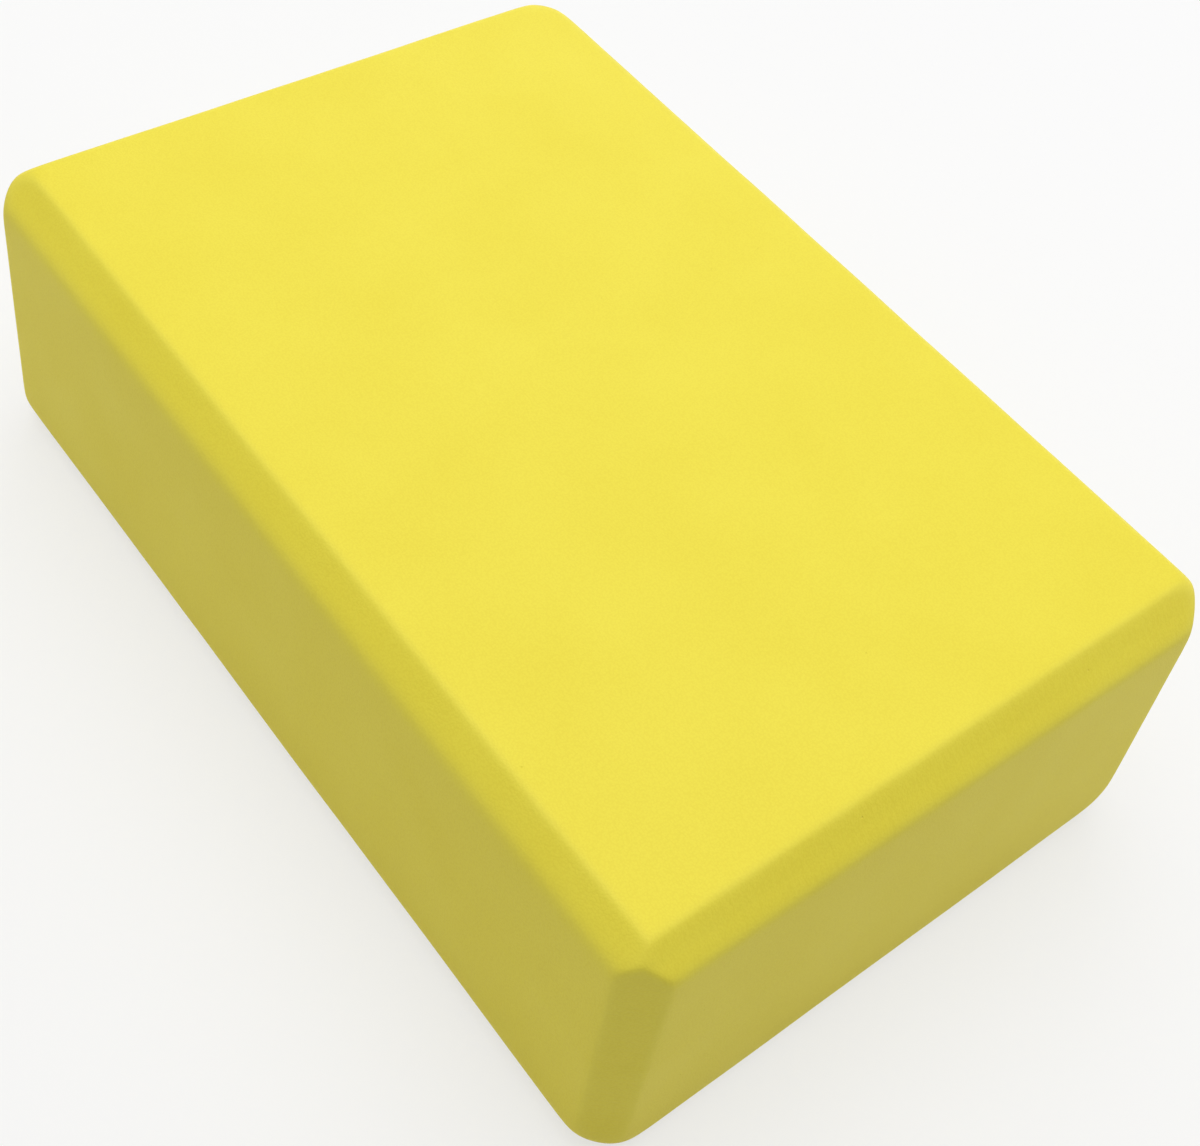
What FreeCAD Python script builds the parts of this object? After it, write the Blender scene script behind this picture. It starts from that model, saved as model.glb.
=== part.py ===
import FreeCAD, Part
import os
import Sketcher

# A foam yoga block: two foam slabs bonded face to face by a thin adhesive film.
# Every outer edge is cut at 45 degrees, so three cuts meet in a mitre at each corner,
# and the arrises between the flat faces are softened by a small radius.
# Millimetres. The origin is the middle of the underside, +X runs along the length, +Z is up.

doc = FreeCAD.newDocument("yoga_block")

# Driving dimensions: alias, value in millimetres, what it measures
DIMENSIONS = (
    ("block_length", 230.0, "length over the two ends"),
    ("block_width", 150.0, "width over the two long sides"),
    ("slab_thickness", 37.4, "thickness of one foam slab"),
    ("bond_thickness", 0.2, "thickness of the adhesive film"),
    ("chamfer_leg", 6.5, "how far an edge cut reaches in from each of its two faces"),
    ("arris_radius", 2.5, "radius that softens the arrises beside an edge cut"),
)

sheet = doc.addObject("Spreadsheet::Sheet", "sizes")
for row, (alias, value, meaning) in enumerate(DIMENSIONS, start=1):
    sheet.set(f"A{row}", meaning)
    sheet.set(f"B{row}", str(value))
    sheet.setAlias(f"B{row}", alias)
doc.recompute()

# Lengths below this count as zero when an edge is looked for
TOLERANCE = 1e-6


def origin_plane(body, role):
    """Give the body's own origin plane with this role."""
    return next(plane for plane in body.Origin.OriginFeatures if plane.Role == role)


def new_sketch(body, name, role):
    """Start a sketch on one of the body's origin planes."""
    sketch = body.newObject("Sketcher::SketchObject", name)
    sketch.AttachmentSupport = [(origin_plane(body, role), "")]
    sketch.MapMode = "FlatFace"
    return sketch


def dimension(sketch, kind, first, second, name, expression):
    """Drive the distance between two sketch points by the sheet."""
    index = sketch.addConstraint(Sketcher.Constraint(kind, *first, *second, 1.0))
    sketch.renameConstraint(index, name)
    sketch.setExpression(f"Constraints.{name}", expression)


def closed_outline(sketch, points):
    """Join the points by straight lines and tie each line's end to the next one's start."""
    first = sketch.GeometryCount
    count = len(points)
    for index in range(count):
        start = FreeCAD.Vector(*points[index], 0)
        end = FreeCAD.Vector(*points[(index + 1) % count], 0)
        sketch.addGeometry(Part.LineSegment(start, end))
    for index in range(count):
        follower = first + (index + 1) % count
        sketch.addConstraint(Sketcher.Constraint("Coincident", first + index, 2, follower, 1))
    return first


def plan_outline(body):
    """Draw the block's rectangular plan, centred on the origin."""
    sketch = new_sketch(body, "plan", "XY_Plane")
    half_length = sheet.block_length / 2
    half_width = sheet.block_width / 2
    corners = (
        (-half_length, -half_width),
        (half_length, -half_width),
        (half_length, half_width),
        (-half_length, half_width),
    )
    front = closed_outline(sketch, corners)
    right = front + 1
    back = front + 2
    for side in (front, back):
        sketch.addConstraint(Sketcher.Constraint("Horizontal", side))
    for side in (right, right + 2):
        sketch.addConstraint(Sketcher.Constraint("Vertical", side))
    sketch.addConstraint(Sketcher.Constraint("Symmetric", front, 1, back, 1, -1, 1))
    dimension(sketch, "DistanceX", (front, 1), (front, 2), "plan_length", "sizes.block_length")
    dimension(sketch, "DistanceY", (right, 1), (right, 2), "plan_width", "sizes.block_width")
    return sketch


def sheet_stock(body, thickness):
    """Make the plain rectangular sheet that the piece is cut from."""
    stock = body.newObject("PartDesign::Pad", "stock")
    stock.Profile = plan_outline(body)
    stock.setExpression("Length", thickness)
    doc.recompute()
    return stock


def edge_names(feature, wanted):
    """Name the edges of a feature that a test picks out."""
    edges = enumerate(feature.Shape.Edges, start=1)
    return [f"Edge{number}" for number, edge in edges if wanted(edge)]


def is_upright(edge):
    """Tell whether an edge runs straight up through the sheet."""
    run = edge.Vertexes[-1].Point - edge.Vertexes[0].Point
    return abs(run.z) > TOLERANCE and abs(run.x) < TOLERANCE and abs(run.y) < TOLERANCE


def is_off_bond_face(edge):
    """Tell whether an edge leaves the square rim of the bond face, at the piece's own Z zero."""
    return edge.BoundBox.ZMax > TOLERANCE


def upright_cuts(body, stock):
    """Cut the four upright edges at 45 degrees."""
    cuts = body.newObject("PartDesign::Chamfer", "upright_cuts")
    cuts.Base = (stock, edge_names(stock, is_upright))
    cuts.setExpression("Size", "sizes.chamfer_leg")
    doc.recompute()
    return cuts


def cutter_profile(sketch, side, span, name):
    """Draw the right triangle cut off one outer edge: side is -1 or +1 along the sketch."""
    leg = sheet.chamfer_leg
    corner_x = side * sheet.get(span) / 2
    corner_y = sheet.slab_thickness
    points = (
        (corner_x, corner_y),
        (corner_x - side * leg, corner_y),
        (corner_x, corner_y - leg),
    )
    flat = closed_outline(sketch, points)
    upright = flat + 2
    sketch.addConstraint(Sketcher.Constraint("Horizontal", flat))
    sketch.addConstraint(Sketcher.Constraint("Vertical", upright))
    origin = (-1, 1)
    corner = (flat, 1)
    inner_end = (flat, 2)
    lower_end = (upright, 1)
    reach_ends = (origin, corner) if side > 0 else (corner, origin)
    leg_ends = (inner_end, corner) if side > 0 else (corner, inner_end)
    dimension(sketch, "DistanceX", *reach_ends, f"{name}_reach", f"sizes.{span} / 2")
    dimension(sketch, "DistanceY", origin, corner, f"{name}_rise", "sizes.slab_thickness")
    dimension(sketch, "DistanceX", *leg_ends, f"{name}_leg_in", "sizes.chamfer_leg")
    dimension(sketch, "DistanceY", lower_end, corner, f"{name}_leg_down", "sizes.chamfer_leg")


def outer_cuts(body, name, role, span):
    """Run the 45 degree cutter along the two outer edges at the ends of this span."""
    volume_before = body.Shape.Volume
    sketch = new_sketch(body, f"{name}_profile", role)
    cutter_profile(sketch, -1, span, "low")
    cutter_profile(sketch, 1, span, "high")
    cuts = body.newObject("PartDesign::Pocket", name)
    cuts.Profile = sketch
    cuts.Type = "ThroughAll"
    cuts.Midplane = True
    doc.recompute()
    if cuts.Shape.Volume >= volume_before - TOLERANCE:
        raise RuntimeError(f"{body.Label}: {name} removed no foam")
    return cuts


def softened_arrises(body, cut_piece, wanted):
    """Round the arrises of a cut piece that a test picks out."""
    arrises = body.newObject("PartDesign::Fillet", "softened_arrises")
    arrises.Base = (cut_piece, edge_names(cut_piece, wanted))
    arrises.setExpression("Radius", "sizes.arris_radius")
    doc.recompute()


def foam_slab(label):
    """Make a foam slab with its bond face on its own Z zero and its cut edges on the far face."""
    body = doc.addObject("PartDesign::Body", label)
    body.Label = label
    upright_cuts(body, sheet_stock(body, "sizes.slab_thickness"))
    outer_cuts(body, "end_cuts", "XZ_Plane", "block_length")
    cut_slab = outer_cuts(body, "side_cuts", "YZ_Plane", "block_width")
    softened_arrises(body, cut_slab, is_off_bond_face)
    return body


def bond_film(label):
    """Make the adhesive film, trimmed flush with the upright faces of both slabs."""
    body = doc.addObject("PartDesign::Body", label)
    body.Label = label
    trimmed_film = upright_cuts(body, sheet_stock(body, "sizes.bond_thickness"))
    softened_arrises(body, trimmed_film, is_upright)
    return body


# The lower slab is the same piece as the upper one, turned over about its length
lower_slab = foam_slab("lower_foam_slab")
lower_slab.Placement = FreeCAD.Placement(FreeCAD.Vector(), FreeCAD.Rotation(FreeCAD.Vector(1, 0, 0), 180))
lower_slab.setExpression("Placement.Base.z", "sizes.slab_thickness")

film = bond_film("bond_film")
film.setExpression("Placement.Base.z", "sizes.slab_thickness")

upper_slab = foam_slab("upper_foam_slab")
upper_slab.setExpression("Placement.Base.z", "sizes.slab_thickness + sizes.bond_thickness")

doc.recompute()

pieces = (lower_slab, film, upper_slab)
for item in doc.Objects:
    if "Invalid" in item.State or "Error" in item.State:
        raise RuntimeError(f"{item.Label} failed to recompute: {item.State}")
for piece in pieces:
    if piece.Shape.isNull() or not piece.Shape.isValid():
        raise RuntimeError(f"{piece.Label} has no valid shape")
    if len(piece.Shape.Solids) != 1:
        raise RuntimeError(f"{piece.Label} is not one solid")

os.makedirs("parts", exist_ok=True)
for piece in pieces:
    piece.Shape.exportStep(os.path.join("parts", f"{piece.Label}.step"))
    box = piece.Shape.BoundBox
    low = f"{box.XMin:.2f} {box.YMin:.2f} {box.ZMin:.2f}"
    high = f"{box.XMax:.2f} {box.YMax:.2f} {box.ZMax:.2f}"
    print(f"{piece.Label}: {piece.Shape.Volume / 1000:.1f} cm3, {low} to {high}")
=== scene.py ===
"""A foam yoga block on a pale studio floor.

Two foam slabs are bonded face to face by a thin adhesive film, and every outer edge of the block is cut
at 45 degrees. One Geometry Nodes tree holds the rule of that shape, and makes both slabs and the film
from it. Lengths are in metres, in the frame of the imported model: the origin is the middle of the
underside, X runs along the length and Z is up.
"""

import math

import bmesh
import bpy
from bpy.props import FloatProperty, FloatVectorProperty, IntProperty, PointerProperty
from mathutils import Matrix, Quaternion, Vector


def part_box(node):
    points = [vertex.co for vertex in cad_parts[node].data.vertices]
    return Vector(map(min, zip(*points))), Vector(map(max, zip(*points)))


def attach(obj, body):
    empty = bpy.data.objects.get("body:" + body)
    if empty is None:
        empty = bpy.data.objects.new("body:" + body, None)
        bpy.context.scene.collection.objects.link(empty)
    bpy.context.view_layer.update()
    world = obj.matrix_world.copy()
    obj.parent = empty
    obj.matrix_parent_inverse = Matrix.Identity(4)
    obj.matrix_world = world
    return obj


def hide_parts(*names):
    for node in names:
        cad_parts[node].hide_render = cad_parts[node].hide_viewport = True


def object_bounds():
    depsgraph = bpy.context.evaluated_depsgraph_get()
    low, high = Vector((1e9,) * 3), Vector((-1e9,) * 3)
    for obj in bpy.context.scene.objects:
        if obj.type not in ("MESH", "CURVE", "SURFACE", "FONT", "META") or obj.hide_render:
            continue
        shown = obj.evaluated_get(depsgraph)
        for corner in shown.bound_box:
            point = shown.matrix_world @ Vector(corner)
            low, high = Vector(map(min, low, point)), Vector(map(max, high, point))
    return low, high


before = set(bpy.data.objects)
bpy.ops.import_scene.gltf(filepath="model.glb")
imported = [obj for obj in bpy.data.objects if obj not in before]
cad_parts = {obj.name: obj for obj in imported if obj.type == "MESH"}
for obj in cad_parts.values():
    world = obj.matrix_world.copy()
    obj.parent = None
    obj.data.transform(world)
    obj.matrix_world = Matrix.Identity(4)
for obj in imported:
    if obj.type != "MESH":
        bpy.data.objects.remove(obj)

bl_info = {
    "name": "Yoga Block",
    "version": (1, 0, 0),
    "blender": (4, 5, 0),
    "location": "View3D > Sidebar > Yoga Block",
    "description": "Builds a foam yoga block with cut edges, and a plain studio stage for it",
    "category": "Add Mesh",
}

MM = 0.001
CAD_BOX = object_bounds()
BLOCK_SIZE = CAD_BOX[1] - CAD_BOX[0]

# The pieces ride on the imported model's only body
BODY = "root"

# The shape rule works in a rim of this depth inside the block's faces
RIM_DEPTH = 16 * MM

# Exponent of the shape rule that rounds an arris by a radius as large as the rim is deep
ROUNDING_EXPONENT = 8.4

# Edges of the mesh that turn by more than this stay sharp: only the square rim of a bond face does
SHARP_ANGLE = math.radians(60)

# Edge cuts that run along the length, along the width and upright
EDGE_CUTS = ("Side", "End", "Upright")

# Name under which the surface keeps its shares of those three cuts
CUT_SHARES = "cut_shares"

# Sizes that change over the block: those cuts, and the trim and rounding of the corners where they meet
VARIED_SIZES = (*EDGE_CUTS, "Trim", "Rounding")

# Width of the camera's sensor in millimetres
SENSOR_WIDTH = 36.0

# Least radius of an arris that the mesh lines can show
LEAST_RADIUS = 0.5 * MM

# Decimals that the sidebar shows of a length
LENGTH_PRECISION = 6


def length_property(name, value, description, least=0.0, most=1.0):
    """Make the property for a length."""
    return FloatProperty(
        name=name,
        description=description,
        default=value,
        min=least,
        max=most,
        unit="LENGTH",
        precision=LENGTH_PRECISION,
    )


def mean_property(name, value, description):
    """Make the property for the mean of a length that changes over the block."""
    return length_property(name, value, description, most=RIM_DEPTH)


def change_property(name, millimetres, description):
    """Make the property for how a length changes over the block."""
    return FloatVectorProperty(
        name=name,
        description=description,
        default=tuple(value * MM for value in millimetres),
        size=3,
        subtype="XYZ",
        unit="LENGTH",
        precision=LENGTH_PRECISION,
    )


def drift_property(name, millimetres, what):
    """Make the property for how a length changes towards the block's faces."""
    description = f"Change of the {what} from the middle to the +X, +Y and +Z faces"
    return change_property(name, millimetres, description)


def twist_property(name, millimetres, what):
    """Make the property for how a length changes along the diagonals of the block."""
    description = f"Change of the {what} along the diagonals in XY, YZ and ZX"
    return change_property(name, millimetres, description)


def colour_property(name, value, description):
    """Make the property for a colour."""
    return FloatVectorProperty(name=name, description=description, default=value, size=3, subtype="COLOR")


def power_property(name, value, description):
    """Make the property for the power of a lamp."""
    return FloatProperty(name=name, description=description, default=value, unit="POWER")


def place_property(name, value, description):
    """Make the property for a place in the block's frame."""
    return FloatVectorProperty(
        name=name,
        description=description,
        default=value,
        size=3,
        subtype="TRANSLATION",
        unit="LENGTH",
    )


class BlockShape(bpy.types.PropertyGroup):
    """Sizes of the block and of its hand-guided edge cuts."""

    length: length_property("Length", BLOCK_SIZE.x, "Length over the two ends")
    width: length_property("Width", BLOCK_SIZE.y, "Width over the two long sides")
    height: length_property("Height", BLOCK_SIZE.z, "Height of the bonded block")
    arris_radius: length_property(
        "Arris Radius",
        2.0 * MM,
        "Radius that softens most arrises beside an edge cut",
        least=LEAST_RADIUS,
    )
    side_arris: length_property(
        "Side Arris",
        6.0 * MM,
        "Radius of the softer arrises between a side cut and its long side",
        least=LEAST_RADIUS,
    )
    end_arris: length_property(
        "End Arris",
        4.3 * MM,
        "Radius of the softer arrises between an end cut and its short end",
        least=LEAST_RADIUS,
    )
    side_mean: mean_property("Side Cut", 6.05 * MM, "Mean leg of the cuts along the long sides")
    side_drift: drift_property("Side Drift", (0.55, 0.0, 0.1), "side cuts")
    side_twist: twist_property("Side Twist", (0.75, -0.35, -0.65), "side cuts")
    end_mean: mean_property("End Cut", 6.0 * MM, "Mean leg of the cuts along the short ends")
    end_drift: drift_property("End Drift", (-0.5, 0.4, 0.8), "end cuts")
    end_twist: twist_property("End Twist", (-0.05, 0.1, 0.65), "end cuts")
    upright_mean: mean_property("Upright Cut", 7.0 * MM, "Mean leg of the cuts along the upright edges")
    upright_drift: drift_property("Upright Drift", (0.65, 0.55, 0.7), "upright cuts")
    upright_twist: twist_property("Upright Twist", (0.2, 0.35, -0.05), "upright cuts")
    trim_mean: mean_property("Corner Trim", 1.0 * MM, "Mean length trimmed off a mitred corner's tip")
    trim_drift: drift_property("Trim Drift", (-0.05, 0.2, -0.35), "corner trim")
    trim_twist: twist_property("Trim Twist", (-0.4, 0.0, -0.45), "corner trim")
    rounding_mean: mean_property("Corner Rounding", 13.5 * MM, "Mean size of the rounding of the corners")
    rounding_drift: drift_property("Rounding Drift", (-0.9, 2.6, -1.3), "corner rounding")
    rounding_twist: twist_property("Rounding Twist", (0.1, 1.5, -3.7), "corner rounding")
    cut_waver: length_property("Cut Waver", 0.22 * MM, "How far a cut's leg wavers along its run")
    face_swell: length_property(
        "Face Swell",
        0.12 * MM,
        "How far the foam's faces swell and dip from flat",
    )
    film_inset: length_property(
        "Film Inset",
        0.01 * MM,
        "How far the film stays back from the slabs' faces",
    )
    line_gap: length_property(
        "Line Gap",
        0.5 * MM,
        "Gap between the mesh lines in the rim, where the cuts and arrises lie",
        least=0.1 * MM,
    )
    middle_gap: length_property(
        "Middle Gap",
        3.2 * MM,
        "Gap between the mesh lines in the flat middle of a face",
        least=0.5 * MM,
    )
    seed: IntProperty(name="Seed", description="Seed of the wavering cuts and swelling faces", default=7)


class FoamLook(bpy.types.PropertyGroup):
    """Colours and surface of the closed-cell foam and of the adhesive, with painted shade in the foam's
    hollows and a painted highlight on its arrises.
    """

    foam: colour_property("Foam", (0.85, 0.735, 0.043), "Main colour of the foam")
    # The deep colour is partly the foam's own denser patches and partly painted shade in the hollows
    # between cells and in open cells
    foam_deep_and_shade: colour_property(
        "Deep Foam",
        (0.8, 0.67, 0.032),
        "Colour of the denser patches and of the hollows between cells",
    )
    # The rubbed colour is lighter: partly wear and partly a painted highlight along the arrises
    foam_rubbed_highlight: colour_property("Rubbed Foam", (0.89, 0.79, 0.1), "Colour of the rubbed arrises")
    adhesive: colour_property("Adhesive", (0.835, 0.715, 0.038), "Colour of the adhesive film")
    cell_size: length_property("Cell Size", 0.45 * MM, "Size of the foam's cells", least=0.05 * MM)
    cell_depth: length_property("Cell Depth", 0.016 * MM, "Depth of the hollows between cells")


class StageLook(bpy.types.PropertyGroup):
    """Floor, lamps and camera."""

    floor: colour_property("Floor", (0.86, 0.86, 0.86), "Colour of the floor")
    key_power: power_property("Key", 17.7, "Power of the overhead panel")
    back_power: power_property("Back Light", 3.0, "Power of the panel behind the block")
    left_power: power_property("Left Fill", 2.2, "Power of the panel on the camera's left")
    right_power: power_property("Right Fill", 0.75, "Power of the panel on the camera's right")
    ambient: FloatProperty(
        name="Ambient",
        description="Strength of the even light from all round",
        default=0.2,
    )
    camera_place: place_property(
        "Camera Place",
        (203.69 * MM, -196.68 * MM, 360.07 * MM),
        "Where the camera stands",
    )
    camera_aim: place_property(
        "Camera Aim",
        (14.49 * MM, 5.93 * MM, BLOCK_SIZE.z),
        "Point on the top face that the lens axis meets",
    )
    camera_roll: FloatProperty(
        name="Camera Roll",
        description="Lean of the camera to its left",
        default=math.radians(11.68),
        subtype="ANGLE",
    )
    camera_lens: FloatProperty(
        name="Camera Lens",
        description=f"Focal length in millimetres, on a sensor {SENSOR_WIDTH:g} mm wide",
        default=58.65,
    )
    camera_shift: FloatVectorProperty(
        name="Camera Shift",
        description="Shift of the frame, as shares of its width",
        default=(-0.0417, -0.1433),
        size=2,
    )


class Wiring:
    """Adds nodes to a tree and joins them, so that each step of a formula is one line."""

    def __init__(self, tree):
        self.tree = tree

    def node(self, kind, **settings):
        """Add a node and set its properties."""
        made = self.tree.nodes.new(kind)
        for name, value in settings.items():
            setattr(made, name, value)
        return made

    def feed(self, socket, value):
        """Join a socket to an output, or give it a plain value."""
        if isinstance(value, bpy.types.NodeSocket):
            self.tree.links.new(value, socket)
        else:
            socket.default_value = value

    def fill(self, node, **values):
        """Feed a node's inputs by name, with underscores for spaces."""
        for name, value in values.items():
            self.feed(node.inputs[name.replace("_", " ")], value)
        return node

    def math(self, operation, *values):
        """Add a scalar operation."""
        made = self.node("ShaderNodeMath", operation=operation)
        for socket, value in zip(made.inputs, values):
            self.feed(socket, value)
        return made.outputs[0]

    def total(self, *values):
        """Add any number of values."""
        result = values[0]
        for value in values[1:]:
            result = self.math("ADD", result, value)
        return result

    def vector(self, operation, *values):
        """Add a vector operation that gives a vector."""
        made = self.node("ShaderNodeVectorMath", operation=operation)
        for socket, value in zip(made.inputs, values):
            self.feed(socket, value)
        return made.outputs["Vector"]

    def dot(self, first, second):
        """Add a dot product."""
        made = self.node("ShaderNodeVectorMath", operation="DOT_PRODUCT")
        self.feed(made.inputs[0], first)
        self.feed(made.inputs[1], second)
        return made.outputs["Value"]

    def scaled(self, vector, factor):
        """Scale a vector by a number."""
        made = self.node("ShaderNodeVectorMath", operation="SCALE")
        return self.fill(made, Vector=vector, Scale=factor).outputs["Vector"]

    def combined(self, x, y, z):
        """Make a vector of three numbers."""
        made = self.node("ShaderNodeCombineXYZ")
        return self.fill(made, X=x, Y=y, Z=z).outputs["Vector"]

    def separated(self, vector):
        """Give a vector's three numbers."""
        made = self.node("ShaderNodeSeparateXYZ")
        return self.fill(made, Vector=vector).outputs[:]

    def noise(self, vector, scale, detail, seed):
        """Add a noise between -1 and 1."""
        made = self.node("ShaderNodeTexNoise", noise_dimensions="4D")
        self.fill(made, Vector=vector, W=seed, Scale=scale, Detail=detail)
        return self.math("MULTIPLY_ADD", made.outputs["Fac"], 2.0, -1.0)

    def stepped(self, value, low, high):
        """Ease from 0 at low to 1 at high."""
        made = self.node("ShaderNodeMapRange", interpolation_type="SMOOTHSTEP")
        made.inputs["From Min"].default_value = low
        made.inputs["From Max"].default_value = high
        self.feed(made.inputs["Value"], value)
        return made.outputs["Result"]

    def mixed(self, factor, first, second):
        """Mix two colours."""
        made = self.node("ShaderNodeMix", data_type="RGBA")
        self.feed(made.inputs["Factor"], factor)
        colours = [socket for socket in made.inputs if socket.type == "RGBA"]
        self.feed(colours[0], first)
        self.feed(colours[1], second)
        return next(socket for socket in made.outputs if socket.type == "RGBA")


def opaque(colour):
    """Give a colour property as the four numbers of a colour socket."""
    return (*colour, 1.0)


# Shape of the foam pieces

SHAPE_TREE = "cut_edge_foam"

SHAPE_INPUTS = (
    ("Length", "NodeSocketFloat"),
    ("Width", "NodeSocketFloat"),
    ("Height", "NodeSocketFloat"),
    ("Lowest", "NodeSocketFloat"),
    ("Highest", "NodeSocketFloat"),
    ("Rim Depth", "NodeSocketFloat"),
    ("Arris Radius", "NodeSocketFloat"),
    ("Side Arris", "NodeSocketFloat"),
    ("End Arris", "NodeSocketFloat"),
    ("Rim Lines", "NodeSocketInt"),
    ("Length Lines", "NodeSocketInt"),
    ("Width Lines", "NodeSocketInt"),
    ("Height Lines", "NodeSocketInt"),
    ("Cut Waver", "NodeSocketFloat"),
    ("Face Swell", "NodeSocketFloat"),
    ("Seed", "NodeSocketInt"),
    ("Material", "NodeSocketMaterial"),
)

# Surfaces that meet where a corner's rounding starts: two meet along an arris, and more at a corner
CORNER_COUNT = 2.2

# Cuts that meet an upright face in a softer arris, and that face
SOFT_ARRISES = {"Side": "Face Y", "End": "Face X"}

# Noises of the wavering cuts and of the swelling faces: cycles in each metre, and detail
WAVER_NOISE = (28.0, 2.0)
SWELL_NOISE = (22.0, 2.0)

# Step from the seed of the first cut's waver to the seed of the swell
SWELL_SEED_STEP = 10.0


def new_shape_tree():
    """Make an empty tree with named inputs for the block's sizes and its edge cuts."""
    tree = bpy.data.node_groups.new(SHAPE_TREE, "GeometryNodeTree")
    for name, kind in SHAPE_INPUTS:
        tree.interface.new_socket(name, in_out="INPUT", socket_type=kind)
    for size in VARIED_SIZES:
        tree.interface.new_socket(f"{size} Mean", in_out="INPUT", socket_type="NodeSocketFloat")
        tree.interface.new_socket(f"{size} Drift", in_out="INPUT", socket_type="NodeSocketVector")
        tree.interface.new_socket(f"{size} Twist", in_out="INPUT", socket_type="NodeSocketVector")
    tree.interface.new_socket("Geometry", in_out="OUTPUT", socket_type="NodeSocketGeometry")
    return tree


def lined_box(wiring, given):
    """Add a box from -1 to 1 with the wanted number of lines along each axis."""
    rims = wiring.math("MULTIPLY", given["Rim Lines"], 2.0)
    box = wiring.node("GeometryNodeMeshCube")
    box.inputs["Size"].default_value = (2.0, 2.0, 2.0)
    for axis, lines in (("X", "Length Lines"), ("Y", "Width Lines")):
        count = wiring.total(given[lines], rims, 1.0)
        wiring.feed(box.inputs[f"Vertices {axis}"], count)
    wiring.feed(box.inputs["Vertices Z"], wiring.math("ADD", given["Height Lines"], 1.0))
    return box.outputs["Mesh"]


def stretched_point(wiring, given, half):
    """Place the box's points in the block, with close lines in the rim, about the block's middle."""
    unit_point = wiring.node("GeometryNodeInputPosition").outputs[0]
    rims = wiring.math("MULTIPLY", given["Rim Lines"], 2.0)
    shares = []
    for lines in ("Length Lines", "Width Lines"):
        shares.append(wiring.math("DIVIDE", given[lines], wiring.math("ADD", given[lines], rims)))
    # Only X and Y are placed by their shares, so the share along Z is any number between 0 and 1
    share = wiring.combined(shares[0], shares[1], 0.5)
    rim = wiring.combined(given["Rim Depth"], given["Rim Depth"], given["Rim Depth"])
    reach = wiring.vector("ABSOLUTE", unit_point)
    inside = wiring.vector("DIVIDE", wiring.vector("MINIMUM", reach, share), share)
    beyond = wiring.vector("MAXIMUM", wiring.vector("SUBTRACT", reach, share), (0.0, 0.0, 0.0))
    rim_share = wiring.vector("SUBTRACT", (1.0, 1.0, 1.0), share)
    outside = wiring.vector("DIVIDE", beyond, rim_share)
    flat = wiring.vector("MULTIPLY", inside, wiring.vector("SUBTRACT", half, rim))
    edge = wiring.vector("MULTIPLY", outside, rim)
    side = wiring.vector("SIGN", unit_point)
    plan = wiring.vector("MULTIPLY", side, wiring.vector("ADD", flat, edge))
    plan_x, plan_y, _ = wiring.separated(plan)
    unit_z = wiring.separated(unit_point)[2]
    rise = wiring.math("MULTIPLY_ADD", unit_z, 0.5, 0.5)
    thickness = wiring.math("SUBTRACT", given["Highest"], given["Lowest"])
    level = wiring.math("MULTIPLY_ADD", rise, thickness, given["Lowest"])
    half_z = wiring.separated(half)[2]
    return wiring.combined(plan_x, plan_y, wiring.math("SUBTRACT", level, half_z))


def local_sizes(wiring, given, point, half):
    """Give each varied size at a point: its mean, its changes over the block and, for a cut, its waver."""
    place = wiring.vector("DIVIDE", point, half)
    x, y, z = wiring.separated(place)
    diagonals = wiring.vector("MULTIPLY", place, wiring.combined(y, z, x))
    sizes = {}
    for name in VARIED_SIZES:
        drift = wiring.dot(place, given[f"{name} Drift"])
        twist = wiring.dot(diagonals, given[f"{name} Twist"])
        sizes[name] = wiring.total(given[f"{name} Mean"], drift, twist)
    for number, name in enumerate(EDGE_CUTS):
        seed = wiring.math("ADD", given["Seed"], float(number))
        waver = wiring.noise(point, *WAVER_NOISE, seed)
        sizes[name] = wiring.math("MULTIPLY_ADD", waver, given["Cut Waver"], sizes[name])
    sizes["Trim"] = wiring.math("MAXIMUM", sizes["Trim"], 0.0)
    sizes["Rounding"] = wiring.math("MAXIMUM", sizes["Rounding"], given["Arris Radius"])
    return sizes


def surface_terms(wiring, given, reach, sizes):
    """Give the distance to each face, cut and corner trim, as shares of the way to its surface.

    A face lies where its own reach is 1. A cut takes its leg off the sum of two reaches, and a trimmed
    corner takes half of its three legs and its trim off the sum of all three.
    """
    depth = given["Rim Depth"]
    x, y, z = wiring.separated(reach)
    terms = {"Face X": x, "Face Y": y, "Face Z": z}
    pairs = {"Side": (y, z), "End": (x, z), "Upright": (x, y)}
    for name, (first, second) in pairs.items():
        limit = wiring.math("SUBTRACT", 2.0, wiring.math("DIVIDE", sizes[name], depth))
        terms[name] = wiring.math("DIVIDE", wiring.math("ADD", first, second), limit)
    legs = wiring.total(*(sizes[name] for name in EDGE_CUTS))
    cut_away = wiring.math("MULTIPLY_ADD", legs, 0.5, sizes["Trim"])
    limit = wiring.math("SUBTRACT", 3.0, wiring.math("DIVIDE", cut_away, depth))
    terms["Trim"] = wiring.math("DIVIDE", wiring.total(x, y, z), limit)
    return terms


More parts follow.
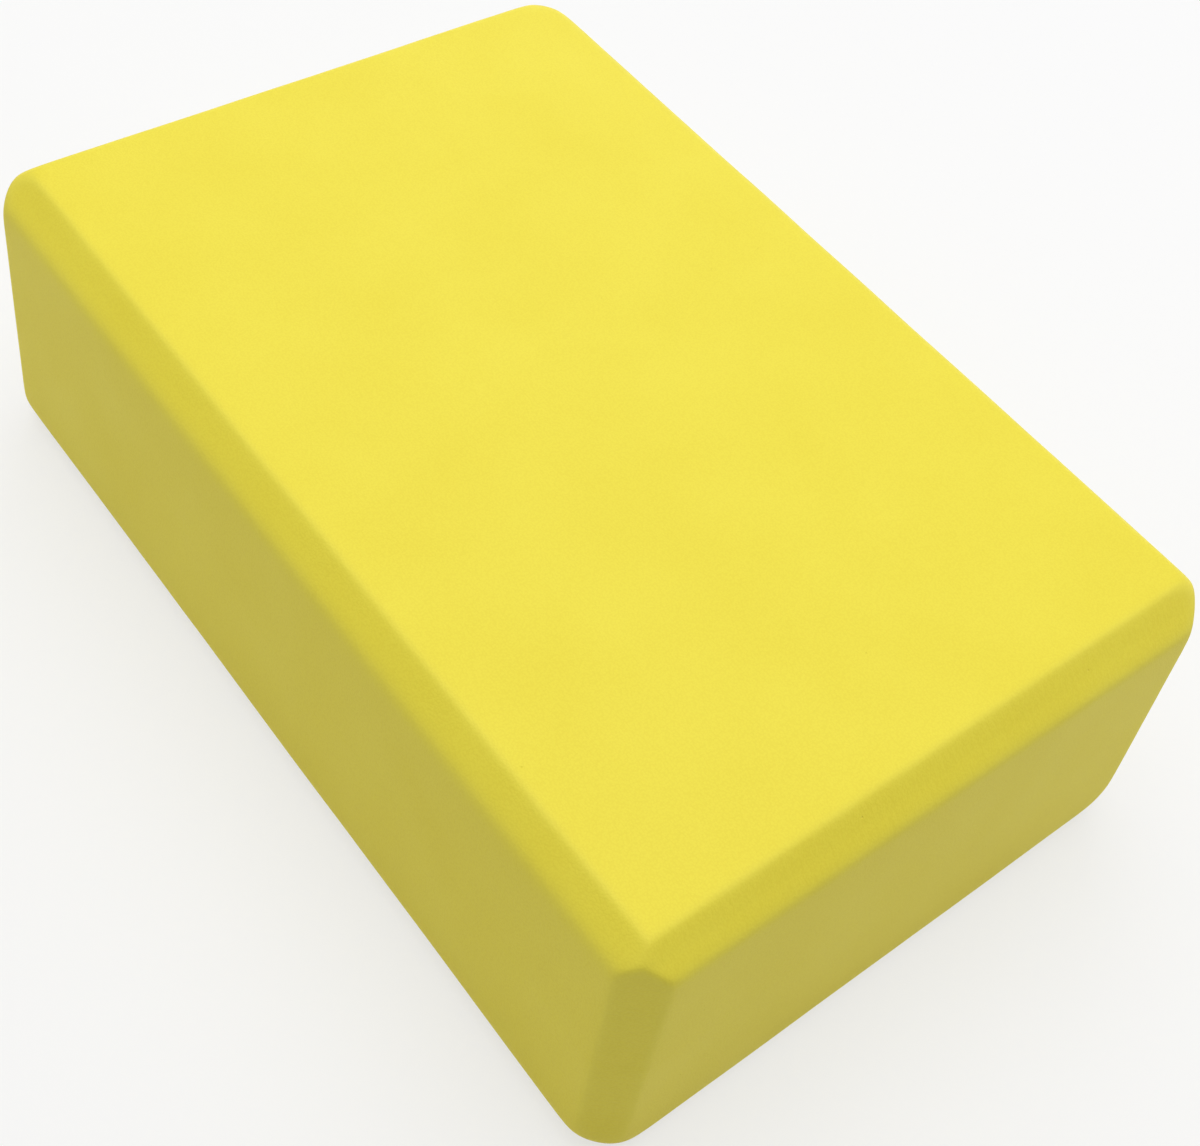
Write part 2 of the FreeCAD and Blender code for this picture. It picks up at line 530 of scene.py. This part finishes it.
def raised_terms(wiring, given, terms, sizes):
    """Raise the terms to the power that leaves soft arrises, and add one that rounds the corners.

    A cut and a face that meet in a softer arris are summed at a lower power first. The added term sums all
    terms at the power of the corner's rounding. It stays small along an arris, where two surfaces meet, and
    counts at a corner, where more do. With even sizes, sums of this kind bulge outwards everywhere.
    """
    scale = wiring.math("MULTIPLY", given["Rim Depth"], ROUNDING_EXPONENT)
    power = wiring.math("DIVIDE", scale, given["Arris Radius"])
    low_power = wiring.math("DIVIDE", scale, sizes["Rounding"])
    raised = {}
    for cut, face in SOFT_ARRISES.items():
        soft_power = wiring.math("DIVIDE", scale, given[f"{cut} Arris"])
        parts = {name: wiring.math("POWER", terms[name], soft_power) for name in (cut, face)}
        both = wiring.total(*parts.values())
        pair = wiring.math("POWER", both, wiring.math("DIVIDE", power, soft_power))
        for name, part in parts.items():
            raised[name] = wiring.math("MULTIPLY", pair, wiring.math("DIVIDE", part, both))
    for name, term in terms.items():
        if name not in raised:
            raised[name] = wiring.math("POWER", term, power)
    raised_low = [wiring.math("POWER", term, low_power) for term in terms.values()]
    meeting = wiring.math("DIVIDE", wiring.total(*raised_low), CORNER_COUNT)
    raised["Corner"] = wiring.math("POWER", meeting, wiring.math("DIVIDE", power, low_power))
    return raised, power


def shape_tree():
    """Make the tree that turns a lined box into a piece of the block.

    Inside a rim behind the faces, each point is drawn in to the surface where the powers of its shares of
    the faces, cuts and trimmed corners add up to 1. High powers leave the faces flat.
    """
    tree = new_shape_tree()
    wiring = Wiring(tree)
    given = wiring.node("NodeGroupInput").outputs
    size = wiring.combined(given["Length"], given["Width"], given["Height"])
    half = wiring.scaled(size, 0.5)
    point = stretched_point(wiring, given, half)
    depth = given["Rim Depth"]
    core_half = wiring.vector("SUBTRACT", half, wiring.combined(depth, depth, depth))
    core_top = wiring.vector("MINIMUM", point, core_half)
    core = wiring.vector("MAXIMUM", core_top, wiring.scaled(core_half, -1.0))
    outward = wiring.vector("SUBTRACT", point, core)
    distance = wiring.vector("ABSOLUTE", outward)
    x, y, z = wiring.separated(distance)
    farthest = wiring.math("MAXIMUM", wiring.math("MAXIMUM", x, y), z)
    reach = wiring.scaled(distance, wiring.math("DIVIDE", 1.0, farthest))
    sizes = local_sizes(wiring, given, point, half)
    terms = surface_terms(wiring, given, reach, sizes)
    raised, power = raised_terms(wiring, given, terms, sizes)
    whole = wiring.math("MAXIMUM", wiring.total(*raised.values()), 1.0)
    norm = wiring.math("POWER", whole, wiring.math("DIVIDE", 1.0, power))
    swell = wiring.noise(point, *SWELL_NOISE, wiring.math("ADD", given["Seed"], SWELL_SEED_STEP))
    rise = wiring.math("MULTIPLY", swell, given["Face Swell"])
    swollen = wiring.math("MULTIPLY_ADD", rise, wiring.math("DIVIDE", 1.0, depth), 1.0)
    drawn = wiring.scaled(outward, wiring.math("DIVIDE", swollen, norm))
    lift = wiring.combined(0.0, 0.0, wiring.separated(half)[2])
    placed = wiring.vector("ADD", wiring.vector("ADD", core, drawn), lift)

    shares = (wiring.math("DIVIDE", raised[name], whole) for name in EDGE_CUTS)
    store = wiring.node("GeometryNodeStoreNamedAttribute", data_type="FLOAT_VECTOR", domain="POINT")
    wiring.fill(store, Geometry=lined_box(wiring, given), Name=CUT_SHARES, Value=wiring.combined(*shares))
    moved = wiring.node("GeometryNodeSetPosition")
    mesh = wiring.fill(moved, Geometry=store.outputs[0], Position=placed).outputs[0]
    finish_shape(wiring, mesh, given["Material"])
    return tree


def finish_shape(wiring, mesh, material):
    """Smooth the faces, keep the bond face's rim sharp, and end the tree."""
    smooth = wiring.node("GeometryNodeSetShadeSmooth", domain="FACE")
    mesh = wiring.fill(smooth, Geometry=mesh, Shade_Smooth=True).outputs[0]
    angle = wiring.node("GeometryNodeInputMeshEdgeAngle").outputs["Unsigned Angle"]
    turned = wiring.math("GREATER_THAN", angle, SHARP_ANGLE)
    sharp = wiring.node("GeometryNodeSetShadeSmooth", domain="EDGE")
    mesh = wiring.fill(sharp, Geometry=mesh, Selection=turned, Shade_Smooth=False).outputs[0]
    real = wiring.node("GeometryNodeRealizeInstances")
    mesh = wiring.fill(real, Geometry=mesh).outputs[0]
    painted = wiring.node("GeometryNodeSetMaterial")
    mesh = wiring.fill(painted, Geometry=mesh, Material=material).outputs[0]
    wiring.feed(wiring.node("NodeGroupOutput").inputs["Geometry"], mesh)


def line_count(span, gap):
    """Give the number of mesh lines over a span."""
    return max(1, round(span / gap))


def shape_values(shape, node, material, inset=0.0):
    """Give the tree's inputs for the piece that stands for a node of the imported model."""
    low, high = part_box(node)
    length = shape.length - 2 * inset
    width = shape.width - 2 * inset
    values = {
        "Length": length,
        "Width": width,
        "Height": shape.height,
        "Lowest": low.z,
        "Highest": high.z,
        "Rim Depth": RIM_DEPTH,
        "Arris Radius": shape.arris_radius,
        "Side Arris": shape.side_arris,
        "End Arris": shape.end_arris,
        "Rim Lines": line_count(RIM_DEPTH, shape.line_gap),
        "Length Lines": line_count(length - 2 * RIM_DEPTH, shape.middle_gap),
        "Width Lines": line_count(width - 2 * RIM_DEPTH, shape.middle_gap),
        "Height Lines": line_count(high.z - low.z, shape.line_gap),
        "Cut Waver": shape.cut_waver,
        "Face Swell": shape.face_swell,
        "Seed": shape.seed,
        "Material": material,
    }
    for size in VARIED_SIZES:
        prefix = size.lower()
        values[f"{size} Mean"] = getattr(shape, f"{prefix}_mean")
        values[f"{size} Drift"] = tuple(getattr(shape, f"{prefix}_drift"))
        values[f"{size} Twist"] = tuple(getattr(shape, f"{prefix}_twist"))
    return values


def shaped_piece(name, tree, values):
    """Run the shape tree once and keep its result as a plain mesh object."""
    piece = bpy.data.objects.new(name, bpy.data.meshes.new(name))
    bpy.context.scene.collection.objects.link(piece)
    modifier = piece.modifiers.new("shape", "NODES")
    modifier.node_group = tree
    for item in tree.interface.items_tree:
        if item.in_out == "INPUT":
            modifier[item.identifier] = values[item.name]
    graph = bpy.context.evaluated_depsgraph_get()
    made = bpy.data.meshes.new_from_object(
        piece.evaluated_get(graph), preserve_all_data_layers=True, depsgraph=graph
    )
    if not made.polygons:
        raise RuntimeError(f"{name} came out empty")
    piece.modifiers.clear()
    piece.data = made
    made.name = name
    return piece


def block_shape_tree():
    """Give the shape tree, made on first use."""
    return bpy.data.node_groups.get(SHAPE_TREE) or shape_tree()


# Materials

# Noises of the foam's patches, rubbed spots with their painted highlight, and fine peel: cycles in each
# metre, detail and seed
PATCH_NOISE = (42.0, 4.0, 1.0)
RUB_NOISE = (130.0, 3.0, 2.0)
PEEL_NOISE = (900.0, 2.0, 3.0)

# Shares of the deep colour: their mean and spread in patches, and the painted shade in a hollow and in an
# open cell
PATCH_MEAN = 0.25
PATCH_SPREAD = 0.45
HOLLOW_SHADE = 0.5
PIT_SHADE = 0.7

# Strength of the rubbed colour on an arris, partly wear and partly a painted highlight, by its mean and
# spread
RUB_HIGHLIGHT_MEAN = 1.2
RUB_HIGHLIGHT_SPREAD = 0.8

# Distances from a cell's middle, in cells, where the hollow round it starts and where it is deepest
HOLLOW_START = 0.3
HOLLOW_END = 0.75

# Roughness of the foam, and what a patch and a rubbed spot add to it
FOAM_ROUGHNESS = 0.6
PATCH_ROUGHNESS = 0.05
RUB_ROUGHNESS = 0.15
FOAM_IOR = 1.48

# Pitch of the cutter's ripples along an edge cut, and the depth of the ripples and of the fine peel
RIPPLE_PITCH = 1.7 * MM
RIPPLE_DEPTH = 0.006 * MM
PEEL_DEPTH = 0.01 * MM

# Open cells: their spacing, the share of places that have one, their radius as a share of the spacing,
# their depth, and the share of the radius that is flat floor
PIT_SPACING = 5.0 * MM
PIT_SHARE = 0.2
PIT_RADIUS = 0.055
PIT_DEPTH = 0.08 * MM
PIT_FLOOR = 0.4

# Bubbles in the adhesive: their size, the distances from their middle, in bubbles, between which the
# colour darkens, and the share of it that is left
BUBBLE_SIZE = 1.2 * MM
BUBBLE_START = 0.1
BUBBLE_END = 0.6
BUBBLE_SHADE = 0.97

# Roughness of the adhesive in the middle of a bubble, and how much it grows over a bubble's size
ADHESIVE_ROUGHNESS = 0.5
BUBBLE_ROUGHNESS = 0.2


def new_material(name):
    """Make an empty node material and give its wiring and its shader."""
    material = bpy.data.materials.new(name)
    material.use_nodes = True
    material.node_tree.nodes.clear()
    wiring = Wiring(material.node_tree)
    shader = wiring.node("ShaderNodeBsdfPrincipled")
    output = wiring.node("ShaderNodeOutputMaterial")
    wiring.feed(output.inputs["Surface"], shader.outputs["BSDF"])
    return material, wiring, shader


def cells(wiring, point, size, feature="F1"):
    """Add a cell pattern with cells of about this size."""
    made = wiring.node("ShaderNodeTexVoronoi", feature=feature)
    wiring.fill(made, Vector=point, Scale=1.0 / size)
    return made.outputs


def open_cells(wiring, point):
    """Give 1 in the middle of an open cell and 0 away from it."""
    found = cells(wiring, point, PIT_SPACING)
    pick = wiring.separated(found["Color"])[0]
    present = wiring.math("LESS_THAN", pick, PIT_SHARE)
    hollow = wiring.stepped(found["Distance"], PIT_RADIUS, PIT_FLOOR * PIT_RADIUS)
    return wiring.math("MULTIPLY", present, hollow)


def foam_material(look):
    """Make the closed-cell foam: fine cells and open cells with painted shade in their hollows, denser
    patches, rubbed arrises that also carry a painted highlight, and the cutter's ripples.
    """
    material, wiring, shader = new_material("closed_cell_foam")
    point = wiring.node("ShaderNodeTexCoord").outputs["Object"]
    kept = wiring.node("ShaderNodeAttribute", attribute_type="GEOMETRY", attribute_name=CUT_SHARES)
    shares = kept.outputs["Vector"]
    cut = wiring.dot(shares, (1.0, 1.0, 1.0))

    patch = wiring.noise(point, *PATCH_NOISE)
    rub = wiring.noise(point, *RUB_NOISE)
    peel = wiring.noise(point, *PEEL_NOISE)
    cell = cells(wiring, point, look.cell_size)["Distance"]
    pit = open_cells(wiring, point)

    # A band along each arris takes the lighter rubbed colour: partly wear, partly a painted highlight
    arris = wiring.math("MULTIPLY", cut, wiring.math("SUBTRACT", 1.0, cut))
    rubbed_highlight = wiring.math("MULTIPLY", arris, wiring.math("MULTIPLY_ADD", rub, RUB_HIGHLIGHT_SPREAD, RUB_HIGHLIGHT_MEAN))
    hollow = wiring.stepped(cell, HOLLOW_START, HOLLOW_END)
    patch_share = wiring.math("MULTIPLY_ADD", patch, PATCH_SPREAD, PATCH_MEAN)
    # Painted shade: the deep colour darkens the hollows between cells and the open cells
    hollow_shade_share = wiring.math("MULTIPLY", hollow, HOLLOW_SHADE)
    pit_shade_share = wiring.math("MULTIPLY", pit, PIT_SHADE)
    deep_and_shade_share = wiring.total(patch_share, hollow_shade_share, pit_shade_share)
    deep_and_shade_share = wiring.math("MINIMUM", wiring.math("MAXIMUM", deep_and_shade_share, 0.0), 1.0)
    colour = wiring.mixed(deep_and_shade_share, opaque(look.foam), opaque(look.foam_deep_and_shade))
    colour = wiring.mixed(rubbed_highlight, colour, opaque(look.foam_rubbed_highlight))
    wiring.feed(shader.inputs["Base Color"], colour)

    patch_rough = wiring.math("MULTIPLY", patch, PATCH_ROUGHNESS)
    rub_rough = wiring.math("MULTIPLY", rubbed_highlight, RUB_ROUGHNESS)
    wiring.feed(shader.inputs["Roughness"], wiring.total(FOAM_ROUGHNESS, patch_rough, rub_rough))
    shader.inputs["IOR"].default_value = FOAM_IOR

    waves = wiring.vector("SINE", wiring.scaled(point, math.tau / RIPPLE_PITCH))
    ripple = wiring.math("MULTIPLY", wiring.dot(waves, shares), RIPPLE_DEPTH)
    height = wiring.total(
        wiring.math("MULTIPLY", hollow, -look.cell_depth),
        wiring.math("MULTIPLY", peel, PEEL_DEPTH),
        wiring.math("MULTIPLY", pit, -PIT_DEPTH),
        ripple,
    )
    bump = wiring.node("ShaderNodeBump")
    bump.inputs["Distance"].default_value = 1.0
    wiring.feed(bump.inputs["Height"], height)
    wiring.feed(shader.inputs["Normal"], bump.outputs["Normal"])
    return material


def adhesive_material(look):
    """Make the cured adhesive: a little smoother than the foam, with small bubbles."""
    material, wiring, shader = new_material("cured_adhesive")
    point = wiring.node("ShaderNodeTexCoord").outputs["Object"]
    bubble = cells(wiring, point, BUBBLE_SIZE)["Distance"]
    shade = wiring.stepped(bubble, BUBBLE_START, BUBBLE_END)
    darker = tuple(BUBBLE_SHADE * part for part in look.adhesive)
    wiring.feed(shader.inputs["Base Color"], wiring.mixed(shade, opaque(look.adhesive), opaque(darker)))
    rough = wiring.math("MULTIPLY_ADD", bubble, BUBBLE_ROUGHNESS, ADHESIVE_ROUGHNESS)
    wiring.feed(shader.inputs["Roughness"], rough)
    return material


# Stage

# Floor: half its width, how far it lies below the block, how white it is to the camera near the block,
# and the distances between which it fades to the white of the backdrop
FLOOR_REACH = 6.0
FLOOR_DROP = 0.1 * MM
FLOOR_WHITE = 0.65
FADE_START = 0.15
FADE_END = 1.2

# Nearest distance that the camera sees
NEAR_LIMIT = 10 * MM

# Lamps: power property, place, panel size
LAMPS = {
    "overhead_panel": ("key_power", (-0.1, 0.1, 1.4), 1.6),
    "back_panel": ("back_power", (-0.95, 0.85, 0.65), 0.8),
    "left_panel": ("left_power", (-0.85, -0.85, 0.75), 0.9),
    "right_panel": ("right_power", (0.36, 0.62, 0.28), 0.4),
}


def background_ray(wiring):
    """Give 1 for the rays that see the backdrop: from the camera, in gloss and through glass."""
    path = wiring.node("ShaderNodeLightPath").outputs
    seen = wiring.math("MAXIMUM", path["Is Camera Ray"], path["Is Glossy Ray"])
    return wiring.math("MAXIMUM", seen, path["Is Transmission Ray"])


def floor_material(look):
    """Make the pale floor, which takes the block's shadow and fades to the white backdrop."""
    material = bpy.data.materials.new("pale_floor")
    material.use_nodes = True
    material.node_tree.nodes.clear()
    wiring = Wiring(material.node_tree)
    point = wiring.node("ShaderNodeTexCoord").outputs["Object"]
    away = wiring.node("ShaderNodeVectorMath", operation="LENGTH")
    wiring.feed(away.inputs[0], point)
    fade = wiring.stepped(away.outputs["Value"], FADE_START, FADE_END)
    white_share = wiring.math("MULTIPLY_ADD", fade, 1.0 - FLOOR_WHITE, FLOOR_WHITE)
    white_share = wiring.math("MULTIPLY", white_share, background_ray(wiring))
    matte = wiring.node("ShaderNodeBsdfDiffuse")
    matte.inputs["Color"].default_value = opaque(look.floor)
    white = wiring.node("ShaderNodeEmission")
    joined = wiring.node("ShaderNodeMixShader")
    wiring.feed(joined.inputs[0], white_share)
    wiring.feed(joined.inputs[1], matte.outputs["BSDF"])
    wiring.feed(joined.inputs[2], white.outputs["Emission"])
    output = wiring.node("ShaderNodeOutputMaterial")
    wiring.feed(output.inputs["Surface"], joined.outputs["Shader"])
    return material


def make_floor(look):
    """Lay a flat floor just under the block."""
    mesh = bpy.data.meshes.new("studio_floor")
    shape = bmesh.new()
    bmesh.ops.create_grid(shape, x_segments=1, y_segments=1, size=FLOOR_REACH)
    bmesh.ops.translate(shape, verts=shape.verts, vec=(0.0, 0.0, -FLOOR_DROP))
    shape.to_mesh(mesh)
    shape.free()
    mesh.materials.append(floor_material(look))
    floor = bpy.data.objects.new("studio_floor", mesh)
    bpy.context.scene.collection.objects.link(floor)


def make_lamps(look):
    """Hang the soft panels, each turned to the middle of the block."""
    middle = Vector((0.0, 0.0, BLOCK_SIZE.z / 2))
    for name, (power, place, size) in LAMPS.items():
        light = bpy.data.lights.new(name, "AREA")
        light.shape = "SQUARE"
        light.size = size
        light.energy = getattr(look, power)
        lamp = bpy.data.objects.new(name, light)
        lamp.location = place
        lamp.rotation_mode = "QUATERNION"
        lamp.rotation_quaternion = (middle - Vector(place)).to_track_quat("-Z", "Y")
        lamp.visible_camera = False
        bpy.context.scene.collection.objects.link(lamp)


def make_world(look):
    """Light the scene evenly from all round, and show a white backdrop."""
    world = bpy.data.worlds.new("studio")
    world.use_nodes = True
    world.node_tree.nodes.clear()
    wiring = Wiring(world.node_tree)
    seen = background_ray(wiring)
    strength = wiring.math("MULTIPLY_ADD", seen, 1.0 - look.ambient, look.ambient)
    background = wiring.node("ShaderNodeBackground")
    background.inputs["Color"].default_value = (1.0, 1.0, 1.0, 1.0)
    wiring.feed(background.inputs["Strength"], strength)
    output = wiring.node("ShaderNodeOutputWorld")
    wiring.feed(output.inputs["Surface"], background.outputs["Background"])
    bpy.context.scene.world = world


def make_camera(look):
    """Stand the camera where the photograph was taken from."""
    lens = bpy.data.cameras.new("camera")
    lens.sensor_width = SENSOR_WIDTH
    lens.lens = look.camera_lens
    lens.shift_x, lens.shift_y = look.camera_shift
    lens.clip_start = NEAR_LIMIT
    camera = bpy.data.objects.new("camera", lens)
    place = Vector(look.camera_place)
    level = (Vector(look.camera_aim) - place).to_track_quat("-Z", "Y")
    camera.location = place
    camera.rotation_mode = "QUATERNION"
    camera.rotation_quaternion = level @ Quaternion((0.0, 0.0, 1.0), look.camera_roll)
    bpy.context.scene.collection.objects.link(camera)
    bpy.context.scene.camera = camera


# Operators

# Foam pieces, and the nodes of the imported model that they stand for
FOAM_SLABS = {"foam_slab_upper": "upper_foam_slab", "foam_slab_lower": "lower_foam_slab"}


class YOGABLOCK_OT_foam_slabs(bpy.types.Operator):
    """Build the two foam slabs with their cut edges"""

    bl_idname = "yoga_block.foam_slabs"
    bl_label = "Foam Slabs"

    def execute(self, context):
        shape = context.scene.yoga_block_shape
        material = foam_material(context.scene.yoga_block_foam)
        tree = block_shape_tree()
        for name, node in FOAM_SLABS.items():
            piece = shaped_piece(name, tree, shape_values(shape, node, material))
            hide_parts(node)
            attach(piece, BODY)
        return {"FINISHED"}


class YOGABLOCK_OT_bond_film(bpy.types.Operator):
    """Build the adhesive film between the slabs"""

    bl_idname = "yoga_block.bond_film"
    bl_label = "Bond Film"

    def execute(self, context):
        shape = context.scene.yoga_block_shape
        material = adhesive_material(context.scene.yoga_block_foam)
        values = shape_values(shape, "bond_film", material, inset=shape.film_inset)
        piece = shaped_piece("adhesive_film", block_shape_tree(), values)
        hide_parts("bond_film")
        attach(piece, BODY)
        return {"FINISHED"}


class YOGABLOCK_OT_stage(bpy.types.Operator):
    """Set up the floor, the soft lamps, the backdrop and the camera"""

    bl_idname = "yoga_block.stage"
    bl_label = "Studio Stage"

    def execute(self, context):
        look = context.scene.yoga_block_stage
        make_floor(look)
        make_lamps(look)
        make_world(look)
        make_camera(look)
        context.scene.view_settings.view_transform = "Standard"
        return {"FINISHED"}


class YOGABLOCK_PT_sidebar(bpy.types.Panel):
    """Lists the steps that build the block and its stage"""

    bl_idname = "YOGABLOCK_PT_sidebar"
    bl_label = "Yoga Block"
    bl_space_type = "VIEW_3D"
    bl_region_type = "UI"
    bl_category = "Yoga Block"

    def draw(self, context):
        for operator in OPERATORS:
            self.layout.operator(operator.bl_idname)
        for settings in SETTINGS:
            group = getattr(context.scene, settings)
            for name in group.bl_rna.properties.keys():
                if name not in ("rna_type", "name"):
                    self.layout.prop(group, name)


OPERATORS = (YOGABLOCK_OT_foam_slabs, YOGABLOCK_OT_bond_film, YOGABLOCK_OT_stage)
SETTINGS = {
    "yoga_block_shape": BlockShape,
    "yoga_block_foam": FoamLook,
    "yoga_block_stage": StageLook,
}
CLASSES = (*SETTINGS.values(), *OPERATORS, YOGABLOCK_PT_sidebar)


def register():
    """Register the classes and give the scene its settings."""
    for kind in CLASSES:
        bpy.utils.register_class(kind)
    for name, kind in SETTINGS.items():
        setattr(bpy.types.Scene, name, PointerProperty(type=kind))


def unregister():
    """Take the settings and classes away again."""
    for name in SETTINGS:
        delattr(bpy.types.Scene, name)
    for kind in reversed(CLASSES):
        bpy.utils.unregister_class(kind)


def main():
    """Build the block and its stage."""
    register()
    bpy.ops.yoga_block.foam_slabs()
    bpy.ops.yoga_block.bond_film()
    bpy.ops.yoga_block.stage()


if __name__ == "__main__":
    main()
